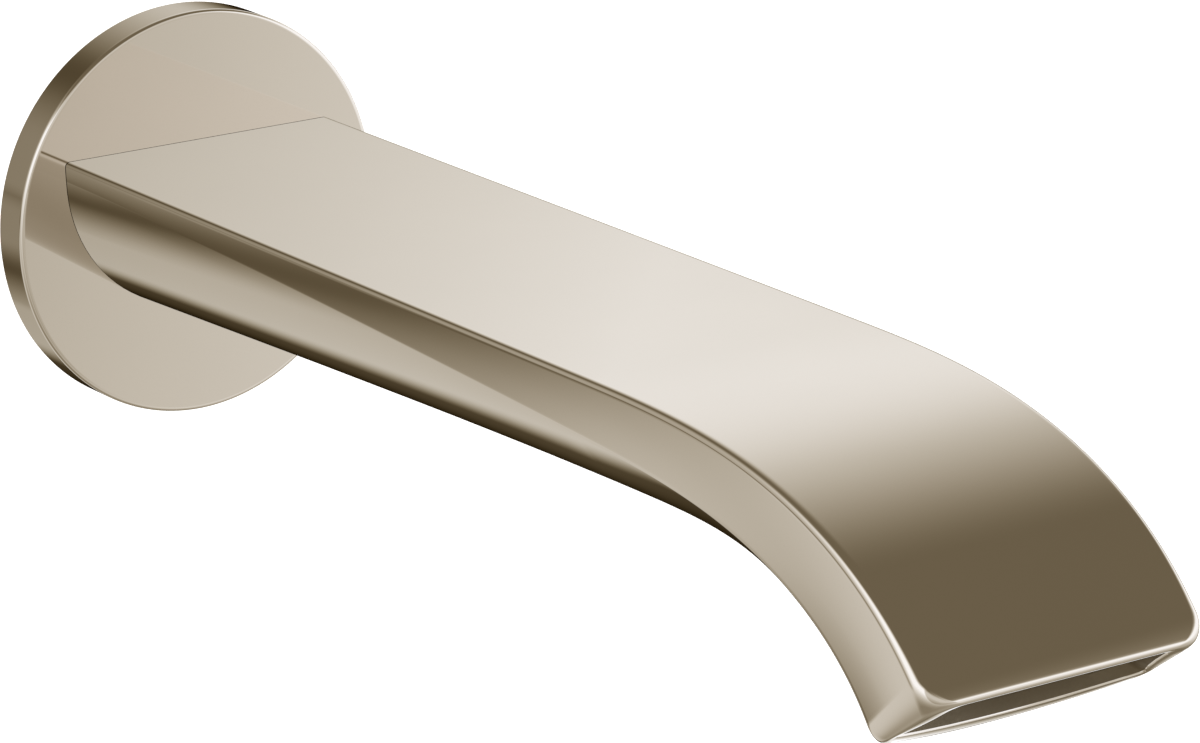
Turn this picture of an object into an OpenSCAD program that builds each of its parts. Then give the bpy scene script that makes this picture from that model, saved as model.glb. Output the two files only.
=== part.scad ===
// Wall mounted bath spout: a round wall disc, a flat topped spout that bends
// down at its end, the wall nipple that it pushes on to, and its jet insert.
// Millimetres. The origin is the centre of the disc's back face, on the wall
// plane and on the inlet axis. The spout points along -Y and +Z is up.

/* [Wall disc] */
// Outer diameter of the wall disc
disc_d = 60; // [56:0.5:76]
// Distance from the wall to the disc's front face
disc_t = 6.1; // [5.9:0.1:7]
// Wall thickness of the hollow disc
disc_wall = 1.6; // [1.4:0.1:1.7]

/* [Spout] */
// Width of the spout
spout_w = 44.7; // [42:0.1:50]
// Height of the flat top face above the inlet axis
top_z = 10.95; // [10.7:0.05:12]
// Distance from the wall at which the top face starts to bend down
bend_start = 131.5; // [100:0.5:170]
// Length of the bend along the top face
bend_len = 79.6; // [70:0.1:90]
// Slope of the top face at the lip, in degrees below level
tip_slope = 54.7; // [45:0.1:58]
// Depth of the spout where it meets the disc
root_depth = 24.6; // [24.4:0.1:26]
// Depth of the straight side face where it meets the disc
root_side = 2.85; // [2.5:0.05:4]
// Depth of the straight side face at the lip
tip_side = 13.5; // [12.8:0.1:14]
// Radius of the long edges beside the top face where it meets the disc
edge_r = 0.7; // [0.4:0.1:1.2]

/* [Outlet] */
// Width of the pocket that takes the jet insert
pocket_w = 34.4; // [33:0.1:35]
// Thickness of the wall above the pocket
lip_wall = 2.8; // [2.6:0.1:3]
// Thickness of the lip at the front of the flared mouth
lip_edge = 1.5; // [1.3:0.1:1.7]
// Depth of the pocket along the flow
pocket_len = 10; // [9.8:0.1:10.5]
// Distance that the jet insert sits back in the outlet
recess = 2; // [1.5:0.1:2.2]

/* [Connection] */
// Outer diameter of the G 3/4 wall thread
thread_d = 26.4; // [26.2:0.05:26.5]
// Length of the wall thread
thread_len = 15; // [12:0.5:20]
// Outer diameter of the plug-in spigot
spigot_d = 16; // [15.8:0.05:16.1]
// Distance from the wall to the spigot's free end
spigot_reach = 29; // [28:0.5:30]
// Diameter of the waterway through the spigot
water_d = 11.8; // [11.7:0.05:11.9]
// Width across flats of the key hexagon in the nipple
hex_af = 10.2; // [9.8:0.1:10.2]
// Distance from the wall to the set screw's axis
screw_y = 12.5; // [12:0.1:13]
// Thread diameter of the set screw
screw_d = 5; // [4.5:0.1:5.2]

/* [Hidden] */
$fn = 96;

nickel = [0.74, 0.69, 0.61];
brass = [0.78, 0.62, 0.32];
black_rubber = [0.08, 0.08, 0.08];
grey_plastic = [0.45, 0.45, 0.43];
white_plastic = [0.86, 0.86, 0.84];
foam_rubber = [0.2, 0.2, 0.2];
steel = [0.7, 0.7, 0.72];
eps = 0.01;

// Spout path. A place on it is the distance run along the top face from the
// disc, and frac is that distance as a share of the whole.
joint_gap = 0.1;
half_w = spout_w / 2;
straight_len = bend_start - disc_t;
path_len = straight_len + bend_len;
depth_loss = 7.5;
tip_swell = 4.7;
side_lean = tan(2.6);
edge_growth = 0.8;
bend_steps = 64;
bend_step = bend_len / bend_steps;

function frac(run) = run / path_len;
function slope_at(run) =
    run <= straight_len ? 0 : tip_slope * pow((run - straight_len) / bend_len, 2);
function mid_slope(i) = slope_at(straight_len + (i + 0.5) * bend_step);
function depth_at(run) =
    root_depth - depth_loss * frac(run) + tip_swell * pow(frac(run), 4);
function side_at(run) = root_side + (tip_side - root_side) * pow(frac(run), 1.5);
function edge_at(run) = edge_r + edge_growth * pow(frac(run), 4);

bend_path = [
    for (i = 0, p = [-bend_start, top_z]; i <= bend_steps;
         p = p - bend_step * [cos(mid_slope(i)), sin(mid_slope(i))], i = i + 1)
    [straight_len + i * bend_step, p[0], p[1]]
];
bend_y = [for (p = bend_path) [p[0], p[1]]];
bend_z = [for (p = bend_path) [p[0], p[2]]];
function top_y(run) = run < straight_len ? -disc_t - run : lookup(run, bend_y);
function top_height(run) = run < straight_len ? top_z : lookup(run, bend_z);

// D shaped outline, [across, down]: a flat top with rounded corners, straight
// sides and a belly that is one circular arc. The sides run from half the
// width at the top to another half width where they meet the belly.
corner_steps = 3;
belly_steps = 18;
function belly_r(half, sag) = (half * half + sag * sag) / (2 * sag);
function d_outline(half, low_half, top, side, bottom, corner) =
    let (
        r = belly_r(low_half, bottom - side),
        sweep = asin(min(1, low_half / r)),
        quarter = [for (i = [0:corner_steps]) 90 * i / corner_steps]
    )
    concat(
        [for (a = quarter)
            [-half + corner * (1 - sin(a)), top + corner * (1 - cos(a))]],
        [for (i = [0:belly_steps])
            let (a = sweep * (2 * i / belly_steps - 1))
            [r * sin(a), bottom - r * (1 - cos(a))]],
        [for (a = quarter)
            [half - corner * (1 - cos(a)), top + corner * (1 - sin(a))]]
    );

// Half width of a D outline at a distance down from its top.
function d_half_at(half, side, bottom, down) =
    down <= side ? half
    : let (r = belly_r(half, bottom - side), rise = r - (bottom - down))
      sqrt(max(0, r * r - rise * rise));

// A ring of points: an outline stood square to the path.
function ring(run, outline) =
    let (a = slope_at(run), y = top_y(run), z = top_height(run))
    [for (p = outline) [p[0], y + p[1] * sin(a), z - p[1] * cos(a)]];

// Closed solid through equal rings.
module skin(rings) {
    n = len(rings[0]);
    last = (len(rings) - 1) * n;
    points = [for (r = rings, p = r) p];
    walls = [
        for (k = [0:len(rings) - 2], i = [0:n - 1])
        let (a = k * n + i, b = k * n + (i + 1) % n)
        each [[a, a + n, b], [b, a + n, b + n]]
    ];
    first_cap = [for (i = [1:n - 2]) [0, i, i + 1]];
    last_cap = [for (i = [1:n - 2]) [last, last + i + 1, last + i]];
    polyhedron(points = points, faces = concat(walls, first_cap, last_cap));
}

// Rounding of the outlet end: how far an edge has come in at a distance from
// the end, on a quarter ellipse of a given length and height.
end_len = 4;
end_in = 2.3;
low_in = 0.9;
corner_gain = 1.2;
side_in = 0.3;
belly_len = 5;
belly_in = 4.6;
lip_r = 0.6;
function quarter_drop(dist, length, height) =
    dist >= length ? 0
    : height * (1 - sqrt(1 - pow((length - dist) / length, 2)));

function body_section(run) =
    let (
        dist = path_len - run,
        in_x = quarter_drop(dist, end_len, end_in),
        side = side_at(run) - quarter_drop(dist, belly_len, side_in),
        low_half = half_w - side_lean * (side - edge_r)
    )
    d_outline(half_w - in_x, low_half - quarter_drop(dist, end_len, low_in),
              quarter_drop(dist, lip_r, lip_r), side,
              depth_at(run) - quarter_drop(dist, belly_len, belly_in),
              edge_at(run) + corner_gain * in_x);

// Waterway: thicker walls towards the outlet, where they carry the insert.
function side_wall(run) = 3 + 3.6 * pow(frac(run), 4);
function belly_wall(run) = 2.8 + 9.2 * pow(frac(run), 4);
function side_extra(run) = 1.2 - 6.9 * pow(frac(run), 4);
cavity_corner = 1;
function cavity_section(run) =
    let (half = half_w - side_wall(run))
    d_outline(half, half, lip_wall, side_at(run) + side_extra(run),
              depth_at(run) - belly_wall(run), cavity_corner);

straight_stations = 8;
bend_stations = 26;
round_stations = 8;
body_runs = concat(
    [for (i = [0:straight_stations - 1])
        joint_gap + (straight_len - joint_gap) * i / straight_stations],
    [for (i = [0:bend_stations - 1])
        straight_len + (bend_len - belly_len) * i / bend_stations],
    [for (i = [0:round_stations])
        path_len - belly_len * (1 - sin(90 * i / round_stations))]
);
cavity_y = 36;
cavity_start = cavity_y - disc_t;
cavity_stop = 8;
cavity_end = path_len - cavity_stop;
cavity_stations = 30;
cavity_runs = [
    for (i = [0:cavity_stations])
    cavity_start + (cavity_end - cavity_start) * i / cavity_stations
];

// Outlet frame: X across, Y down from the lip, Z back up the flow.
pocket_half = pocket_w / 2;
pocket_side = 11;
pocket_bottom = 14.2;
pocket_corner = 2;
least_corner = 0.4;
fit_gap = 0.1;
stack_gap = 0.05;
hair_gap = 0.02;
module in_outlet() {
    translate([0, top_y(path_len), top_height(path_len)])
        rotate([tip_slope - 90, 0, 0]) children();
}
function inset_outline(inset) =
    let (half = pocket_half - inset)
    d_outline(half, half, lip_wall + inset, pocket_side,
              pocket_bottom - inset, max(least_corner, pocket_corner - inset));
module slab(inset, from, to) {
    translate([0, 0, from]) linear_extrude(to - from) polygon(inset_outline(inset));
}
module hoop(outer, inner, from, to) {
    difference() {
        slab(outer, from, to);
        slab(inner, from - 1, to + 1);
    }
}

// Mouth of the outlet, which flares from the pocket out to the end face.
mouth_back = recess - 0.3;
mouth_low_half = pocket_half + 2.5;
mouth_outline = d_outline(pocket_half, mouth_low_half, lip_edge, pocket_side + 0.5,
                          pocket_bottom + 0.3, pocket_corner);
module mouth() {
    function at(outline, back) = [for (p = outline) [p[0], p[1], back]];
    skin([at(inset_outline(0), mouth_back), at(mouth_outline, 0), at(mouth_outline, -1)]);
}

// Cylinder and turned shapes on the inlet axis, with Z pointing out of the wall.
module on_inlet() { rotate([90, 0, 0]) children(); }
module ring_of(r_mid, r_cord, reach) {
    on_inlet() translate([0, 0, reach]) rotate_extrude()
        translate([r_mid, 0]) circle(r = r_cord, $fn = 32);
}

// Connection sizes, measured out from the wall.
spigot_r = spigot_d / 2;
run_gap = 0.05;
bush_bore_r = spigot_r + run_gap;
bush_wall = 1.75;
bush_r = bush_bore_r + bush_wall;
bush_back = 3.4;
bush_front = 31;
groove_floor_r = 6.65;
seal_cord_r = (bush_bore_r - groove_floor_r) / 2 - eps;
seal_mid_r = (bush_bore_r + groove_floor_r) / 2;
seal_groove_w = 2;
seal_reach = [19.5, 24.5];
lock_groove_r = 7.1;
lock_groove_w = 5.6;
collar_r = 16.4;
collar_t = 3;
face_groove = [13.9, 15.6];
face_groove_t = 1.3;
water_r = water_d / 2;
hex_end = 8;
boss_r = 12;
recess_front = 26;

// Set screw and plug, measured down from the inlet axis.
screw_r = screw_d / 2;
screw_top = lock_groove_r + 0.05;
screw_len = 4;
plug_r = 3.2;
plug_t = 0.9;
plug_set = 0.35;
plug_down = root_depth - top_z - plug_set;
module under_inlet(down) { translate([0, -screw_y, -down]) children(); }

module spout_body() {
    color(nickel) difference() {
        skin([for (run = body_runs) ring(run, body_section(run))]);
        skin([for (run = cavity_runs) ring(run, cavity_section(run))]);
        in_outlet() slab(0, -1, pocket_len);
        in_outlet() mouth();
        on_inlet() cylinder(r = bush_r + hair_gap, h = bush_front + fit_gap);
        on_inlet() cylinder(r = bush_bore_r, h = cavity_y + 1);
        casting_recess();
        under_inlet(root_depth) cylinder(r = screw_r + run_gap, h = root_depth);
        under_inlet(root_depth)
            cylinder(r = plug_r + hair_gap, h = root_depth - plug_down + plug_t + fit_gap);
    }
}

// Hollow in the back of the casting, around the boss that holds the bush.
module casting_recess() {
    outline = cavity_section(0);
    translate([0, -recess_front, 0]) rotate([90, 0, 0]) mirror([0, 0, 1])
        linear_extrude(recess_front) difference() {
            polygon([for (p = outline) [p[0], top_z - p[1]]]);
            circle(r = boss_r);
            translate([-boss_r / 2, 0]) square([boss_r, 2 * boss_r]);
        }
}

module connection_bush() {
    color(brass) difference() {
        on_inlet() translate([0, 0, bush_back])
            cylinder(r = bush_r, h = bush_front - bush_back);
        on_inlet() cylinder(r = bush_bore_r, h = bush_front + 1);
        under_inlet(root_depth) cylinder(r = screw_r + run_gap, h = root_depth);
    }
}

hub_r = 12.6;
hub_back = 3.2;
hub_bore_r = bush_r + fit_gap;
grip_cord_r = 0.7;
grip_mid_r = bush_r + grip_cord_r + hair_gap;
grip_reach = 4.5;
grip_groove_w = 1.5;
grip_groove_t = 1.45;
rim_wall = 1.8;
disc_r = disc_d / 2;
disc_edge = 0.5;

module escutcheon() {
    color(nickel) on_inlet() rotate_extrude($fn = 180) difference() {
        polygon([
            [hub_bore_r, hub_back],
            [hub_r, hub_back],
            [hub_r, disc_t - disc_wall],
            [disc_r - rim_wall, disc_t - disc_wall],
            [disc_r - rim_wall, 0],
            [disc_r, 0],
            [disc_r, disc_t - disc_edge],
            [disc_r - disc_edge, disc_t],
            [hub_bore_r, disc_t]
        ]);
        translate([hub_bore_r - 1, grip_reach - grip_groove_w / 2])
            square([1 + grip_groove_t, grip_groove_w]);
    }
}

module escutcheon_grip_ring() {
    color(black_rubber) ring_of(grip_mid_r, grip_cord_r, grip_reach);
}

gasket_t = 1.8;
carrier_in = 17.4;
carrier_r = disc_r - rim_wall - fit_gap;
rib_count = 12;
cell_len = 4.6;
cell_w = 4;
cell_wall = 1.2;
gasket_w = 5;
module escutcheon_carrier() {
    top = disc_t - disc_wall;
    color(grey_plastic) on_inlet() difference() {
        rotate_extrude() polygon([
            [carrier_in, gasket_t],
            [carrier_r, gasket_t],
            [carrier_r, top],
            [carrier_in, top]
        ]);
        for (i = [0:rib_count - 1])
            rotate([0, 0, (i + 0.5) * 360 / rib_count])
                translate([carrier_in + cell_wall, -cell_w / 2, gasket_t + cell_wall])
                    cube([cell_len, cell_w, top]);
    }
}

module wall_gasket() {
    color(foam_rubber) on_inlet() difference() {
        cylinder(r = carrier_r, h = gasket_t);
        translate([0, 0, -1]) cylinder(r = carrier_r - gasket_w, h = gasket_t + 2);
    }
}

module wall_nipple() {
    chamfer = 1;
    lead = 0.6;
    thread_r = thread_d / 2;
    groove_w = seal_groove_w / 2;
    lock_w = lock_groove_w / 2;
    color(brass) on_inlet() difference() {
        rotate_extrude() difference() {
            polygon([
                [0, -thread_len],
                [thread_r - chamfer, -thread_len],
                [thread_r, -thread_len + chamfer],
                [thread_r, 0],
                [collar_r, 0],
                [collar_r, collar_t],
                [spigot_r, collar_t],
                [spigot_r, spigot_reach - lead],
                [spigot_r - lead, spigot_reach],
                [0, spigot_reach]
            ]);
            translate([face_groove[0], -1])
                square([face_groove[1] - face_groove[0], face_groove_t + 1]);
            for (reach = seal_reach)
                translate([groove_floor_r, reach - groove_w])
                    square([spigot_r, 2 * groove_w]);
            translate([lock_groove_r, screw_y - lock_w]) square([spigot_r, 2 * lock_w]);
        }
        translate([0, 0, hex_end]) cylinder(r = water_r, h = spigot_reach);
        translate([0, 0, -thread_len - 1])
            cylinder(r = hex_af / sqrt(3), h = thread_len + hex_end + 1 + eps, $fn = 6);
    }
}

module thread_o_ring() {
    mid = (face_groove[0] + face_groove[1]) / 2;
    cord = face_groove_t / 2 - eps;
    color(black_rubber) ring_of(mid, cord, face_groove_t / 2);
}

module spigot_o_ring_inner() {
    color(black_rubber) ring_of(seal_mid_r, seal_cord_r, seal_reach[0]);
}

module spigot_o_ring_outer() {
    color(black_rubber) ring_of(seal_mid_r, seal_cord_r, seal_reach[1]);
}

module set_screw() {
    bevel = 0.4;
    key_af = 2.5;
    key_depth = 2.4;
    color(steel) under_inlet(screw_top + screw_len) difference() {
        rotate_extrude() polygon([
            [0, 0],
            [screw_r - bevel, 0],
            [screw_r, bevel],
            [screw_r, screw_len - bevel],
            [screw_r - bevel, screw_len],
            [0, screw_len]
        ]);
        translate([0, 0, -eps]) cylinder(r = key_af / sqrt(3), h = key_depth, $fn = 6);
    }
}

module screw_plug() {
    bevel = 0.2;
    color(nickel) under_inlet(plug_down) rotate_extrude() polygon([
        [0, 0],
        [plug_r - bevel, 0],
        [plug_r, bevel],
        [plug_r, plug_t],
        [0, plug_t]
    ]);
}

// Jet insert, from its front face back up the flow.
trim_t = 1.2;
grille_t = 2;
grille_set = 0.2;
gasket_room = 0.9;
housing_end = pocket_len - gasket_room;
skirt_wall = 1.3;
lamella_t = 2.4;
lamella_from = recess + grille_set + grille_t + stack_gap;
lamella_to = lamella_from + lamella_t;
sieve_t = 0.3;
sieve_from = lamella_to + stack_gap;
plate_from = sieve_from + sieve_t + stack_gap;
plate_t = 1.2;
core_inset = fit_gap + skirt_wall + stack_gap;
core_half = pocket_half - core_inset;
core_top = lip_wall + core_inset;
core_bottom = pocket_bottom - core_inset;

// Centres of a grid that keeps a margin inside the insert's D outline. Pitch
// and cell are [across, down].
function grid_in_core(pitch, cell, margin) = [
    for (row = [0:floor((core_bottom - core_top - cell[1] - 2 * margin) / pitch[1])])
    let (
        down = core_top + margin + cell[1] / 2 + row * pitch[1],
        room = d_half_at(core_half, pocket_side, core_bottom, down + cell[1] / 2),
        count = floor((2 * (room - margin) - cell[0]) / pitch[0])
    )
    each count < 0 ? [] : [for (i = [0:count]) [(i - count / 2) * pitch[0], down]]
];
module cells(pitch, cell, margin, from, to) {
    for (c = grid_in_core(pitch, cell, margin))
        translate([c[0] - cell[0] / 2, c[1] - cell[1] / 2, from - 1])
            cube([cell[0], cell[1], to - from + 2]);
}
grille_pitch = [5.6, 2.5];
grille_cell = [4.9, 1.5];
grille_margin = 0.7;
lamella_pitch = [2.8, 2.5];
lamella_cell = [2.3, 2];
sieve_pitch = [2, 2];
sieve_cell = [1.3, 1.3];
core_margin = 0.6;
hole_pitch = [3.1, 3.1];
hole_r = 0.9;
hole_margin = 0.8;

clip_w = 4.6;
clip_down = 5.2;
clip_set = 1.2;
clip_from = recess + trim_t + clip_set;
clip_len = 3.4;
clip_t = 0.25;

module insert_housing() {
    slot_depth = 0.75;
    color(white_plastic) in_outlet() difference() {
        hoop(fit_gap, fit_gap + skirt_wall, recess + trim_t, housing_end);
        for (side = [-1, 1])
            translate([side * pocket_half - slot_depth, clip_down - fit_gap, clip_from - fit_gap])
                cube([2 * slot_depth, clip_w + 2 * fit_gap, clip_len + 2 * fit_gap]);
    }
}

module outlet_trim_frame() {
    color(nickel) in_outlet() hoop(fit_gap, fit_gap + skirt_wall, recess, recess + trim_t);
}

module jet_grille() {
    from = recess + grille_set;
    color(grey_plastic) in_outlet() difference() {
        slab(core_inset, from, from + grille_t);
        cells(grille_pitch, grille_cell, grille_margin, from, from + grille_t);
    }
}

module lamella_block() {
    color(white_plastic) in_outlet() difference() {
        slab(core_inset, lamella_from, lamella_to);
        cells(lamella_pitch, lamella_cell, core_margin, lamella_from, lamella_to);
    }
}

module sieve_screen() {
    color(steel) in_outlet() difference() {
        slab(core_inset, sieve_from, sieve_from + sieve_t);
        cells(sieve_pitch, sieve_cell, core_margin, sieve_from, sieve_from + sieve_t);
    }
}

module distribution_plate() {
    color(grey_plastic) in_outlet() difference() {
        slab(core_inset, plate_from, plate_from + plate_t);
        for (c = grid_in_core(hole_pitch, [2 * hole_r, 2 * hole_r], hole_margin))
            translate([c[0], c[1], plate_from - 1])
                cylinder(r = hole_r, h = plate_t + 2, $fn = 24);
    }
}

module insert_gasket() {
    color(black_rubber) in_outlet()
        hoop(fit_gap + stack_gap, fit_gap + skirt_wall,
             housing_end + hair_gap, pocket_len - stack_gap);
}

module insert_spring_clips() {
    bow = 0.42;
    seat = 0.7;
    leaf = [
        [-seat, 0], [-seat + bow, clip_len / 2], [-seat, clip_len],
        [-seat + clip_t, clip_len], [-seat + bow + clip_t, clip_len / 2], [-seat + clip_t, 0]
    ];
    color(steel) in_outlet() for (side = [0, 1])
        mirror([side, 0, 0])
            translate([pocket_half, clip_down + clip_w, clip_from]) rotate([90, 0, 0])
                linear_extrude(clip_w) polygon(leaf);
}

spout_body();
connection_bush();
escutcheon();
escutcheon_carrier();
escutcheon_grip_ring();
wall_gasket();
wall_nipple();
thread_o_ring();
spigot_o_ring_inner();
spigot_o_ring_outer();
set_screw();
screw_plug();
insert_housing();
outlet_trim_frame();
jet_grille();
lamella_block();
sieve_screen();
distribution_plate();
insert_gasket();
insert_spring_clips();
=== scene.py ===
"""Wall mounted bath spout: finished surfaces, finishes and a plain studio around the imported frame."""

import math

import bmesh
import bpy
from mathutils import Matrix, Vector


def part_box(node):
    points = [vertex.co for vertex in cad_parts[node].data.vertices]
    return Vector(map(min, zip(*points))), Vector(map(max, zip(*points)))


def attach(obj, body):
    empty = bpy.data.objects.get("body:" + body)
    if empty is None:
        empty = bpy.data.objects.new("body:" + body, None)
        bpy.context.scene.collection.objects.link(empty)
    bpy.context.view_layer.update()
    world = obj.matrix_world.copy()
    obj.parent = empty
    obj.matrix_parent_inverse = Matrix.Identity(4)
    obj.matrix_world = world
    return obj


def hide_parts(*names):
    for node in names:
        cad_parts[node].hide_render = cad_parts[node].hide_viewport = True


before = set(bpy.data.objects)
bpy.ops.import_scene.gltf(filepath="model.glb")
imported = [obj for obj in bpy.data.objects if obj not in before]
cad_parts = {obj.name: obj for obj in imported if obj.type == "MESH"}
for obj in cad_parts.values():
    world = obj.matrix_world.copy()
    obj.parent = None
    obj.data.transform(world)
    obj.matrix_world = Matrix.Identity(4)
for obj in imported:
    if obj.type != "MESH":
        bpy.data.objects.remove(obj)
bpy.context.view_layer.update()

bl_info = {
    "name": "Wall Mounted Bath Spout",
    "version": (1, 0, 0),
    "blender": (4, 5, 0),
    "location": "View3D > Sidebar > Spout",
    "description": "Builds a bath spout, its wall disc, fixings and jet insert in a plain studio",
    "category": "Object",
}

MM = 0.001
TURN = 2 * math.pi
FIXED_BODY = "spout_on_wall"
INSERT_BODY = "jet_insert"

DISC_LOW, DISC_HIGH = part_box("escutcheon")
BODY_LOW, BODY_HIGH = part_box("spout_body")
NIPPLE_LOW, NIPPLE_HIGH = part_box("wall_nipple")
PLUG_LOW, PLUG_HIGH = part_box("screw_plug")
DISC_R = DISC_HIGH.x
DISC_T = -DISC_LOW.y
HALF_W = BODY_HIGH.x
TOP_Z = BODY_HIGH.z
THREAD_END = NIPPLE_HIGH.y
SPIGOT_END = -NIPPLE_LOW.y


def length(name, text, default):
    """A size in metres for a property group."""
    return bpy.props.FloatProperty(
        name=name, description=text, default=default, min=0, precision=5,
        subtype="DISTANCE", unit="LENGTH",
    )


def colour(name, text, default):
    """A linear colour for a property group."""
    return bpy.props.FloatVectorProperty(
        name=name, description=text, default=default, size=3, min=0, max=1, subtype="COLOR",
    )


class SpoutSizes(bpy.types.PropertyGroup):
    """Sizes of the cast spout."""

    bend_start: length("Bend start", "Distance from the wall where the top face turns down", 131.5 * MM)
    bend_length: length("Bend length", "Length of the bend along the top face", 79.6 * MM)
    tip_slope: bpy.props.FloatProperty(
        name="Tip slope", description="Slope of the top face at the lip",
        default=math.radians(54.7), subtype="ANGLE", unit="ROTATION",
    )
    root_depth: length("Root depth", "Depth of the spout at the disc", 24.6 * MM)
    depth_loss: length("Depth loss", "How much the spout thins on its way out", 7.5 * MM)
    tip_swell: length("Tip swell", "How much it thickens again near the lip", 4.7 * MM)
    root_side: length("Root side", "Side face at the disc", 2.85 * MM)
    tip_side: length("Tip side", "Side face at the lip", 13.5 * MM)
    side_lean: bpy.props.FloatProperty(
        name="Side lean", description="How far the sides lean inward on their way down",
        default=math.radians(2.6), subtype="ANGLE", unit="ROTATION",
    )
    edge_radius: length("Edge radius", "Rounding beside the top face at the disc", 0.7 * MM)
    edge_growth: length("Edge growth", "How much that rounding grows towards the lip", 0.8 * MM)
    crease_radius: length("Crease radius", "Rounding between side and belly", 1.3 * MM)
    end_length: length("End rounding length", "Rounding of the sides at the outlet end", 4 * MM)
    end_inset: length("End rounding inset", "How far the top corners come in", 2.3 * MM)
    low_inset: length("Low rounding inset", "How far the low corners come in", 0.9 * MM)
    corner_gain: bpy.props.FloatProperty(
        name="Corner gain", description="Growth of the top corners' radius for each length they come in",
        default=1.2,
    )
    side_inset: length("Side rounding inset", "How far the sides' low ends rise", 0.3 * MM)
    belly_length: length("Belly rounding length", "Rounding of the belly at the outlet end", 5 * MM)
    belly_inset: length("Belly rounding inset", "How far the belly comes in", 4.6 * MM)
    lip_radius: length("Lip radius", "Rounding of the lip's front edge", 0.6 * MM)
    lip_edge: length("Lip edge", "Metal above the mouth at the lip", 1.5 * MM)
    lip_wall: length("Lip wall", "Metal above the outlet pocket", 2.8 * MM)
    mouth_flare: length("Mouth flare", "How far the mouth widens at its low corners", 2.5 * MM)
    mouth_length: length("Mouth length", "Depth of the flared mouth", 1.7 * MM)
    pocket_half: length("Pocket half width", "Half the width of the outlet pocket", 17.2 * MM)
    pocket_side: length("Pocket side", "Where the pocket's sides end, down from the lip", 11 * MM)
    pocket_bottom: length("Pocket bottom", "Lowest line of the pocket, down from the lip", 14.2 * MM)
    pocket_length: length("Pocket length", "Depth of the outlet pocket", 10 * MM)


class SpoutFinish(bpy.types.PropertyGroup):
    """Colours of the finishes."""

    nickel: colour("Nickel", "Warm polished nickel", (0.775, 0.723, 0.658))
    # Partly own colour, partly painted shade: the unplated casting is given a dark brown that stands in
    # for the shade inside the outlet and the hollow.
    inside: colour("Shaded cast inside", "Unplated casting inside the spout", (0.20, 0.155, 0.09))
    brass: colour("Brass", "Machined brass", (0.72, 0.50, 0.21))
    steel: colour("Steel", "Stainless steel", (0.60, 0.60, 0.61))
    rubber: colour("Rubber", "Black rubber", (0.018, 0.018, 0.019))
    foam: colour("Foam", "Closed cell foam", (0.045, 0.045, 0.047))
    grey_plastic: colour("Grey plastic", "Moulded grey plastic", (0.11, 0.11, 0.105))
    pale_plastic: colour("Pale plastic", "Moulded pale plastic", (0.62, 0.62, 0.58))


class StudioSettings(bpy.types.PropertyGroup):
    """Camera and light."""

    azimuth: bpy.props.FloatProperty(
        name="Azimuth", description="Camera turn from straight in front, to the left",
        default=math.radians(35.61), subtype="ANGLE", unit="ROTATION",
    )
    elevation: bpy.props.FloatProperty(
        name="Elevation", description="Camera height angle",
        default=math.radians(17.22), subtype="ANGLE", unit="ROTATION",
    )
    aim: bpy.props.FloatVectorProperty(
        name="Aim", description="Point at the centre of the picture",
        default=(0.0460, -0.0419, -0.0236), size=3, subtype="TRANSLATION", unit="LENGTH",
    )
    distance: length("Distance", "Camera distance from the aim point", 0.8842)
    focal_length: bpy.props.FloatProperty(
        name="Focal length", description="Lens on a 36 mm wide sensor", default=181.3, min=20,
    )
    floor_drop: length("Floor drop", "Floor level below the inlet axis", 1.2)


def settings(group):
    return getattr(bpy.context.scene, group)


# ---------------------------------------------------------------- shape laws


def slope_at(run):
    """Slope of the top face at a distance run along it from the disc."""
    s = settings("spout_sizes")
    past = run - (s.bend_start - DISC_T)
    return 0.0 if past <= 0 else s.tip_slope * (past / s.bend_length) ** 2


def path_length():
    s = settings("spout_sizes")
    return s.bend_start - DISC_T + s.bend_length


def top_point(run):
    """Point of the top face's centre line, [y, z]."""
    s = settings("spout_sizes")
    straight = s.bend_start - DISC_T
    if run <= straight:
        return -DISC_T - run, TOP_Z
    steps = 64
    step = (run - straight) / steps
    y, z = -s.bend_start, TOP_Z
    for i in range(steps):
        a = slope_at(straight + (i + 0.5) * step)
        y -= step * math.cos(a)
        z -= step * math.sin(a)
    return y, z


def depth_at(run):
    s = settings("spout_sizes")
    share = run / path_length()
    return s.root_depth - s.depth_loss * share + s.tip_swell * share ** 4


def side_at(run):
    s = settings("spout_sizes")
    return s.root_side + (s.tip_side - s.root_side) * (run / path_length()) ** 1.5


def quarter_drop(dist, reach, height):
    """How far a rounded end has come in, on a quarter ellipse, at a distance from the end."""
    if dist >= reach:
        return 0.0
    return height * (1 - math.sqrt(max(0.0, 1 - ((reach - dist) / reach) ** 2)))


FLAT_SHARES = (0.0, 0.4, 0.75)
EDGE_STEPS = 6
SIDE_SHARES = (0.33, 0.66)
CREASE_STEPS = 7
BELLY_STEPS = 22


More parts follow.
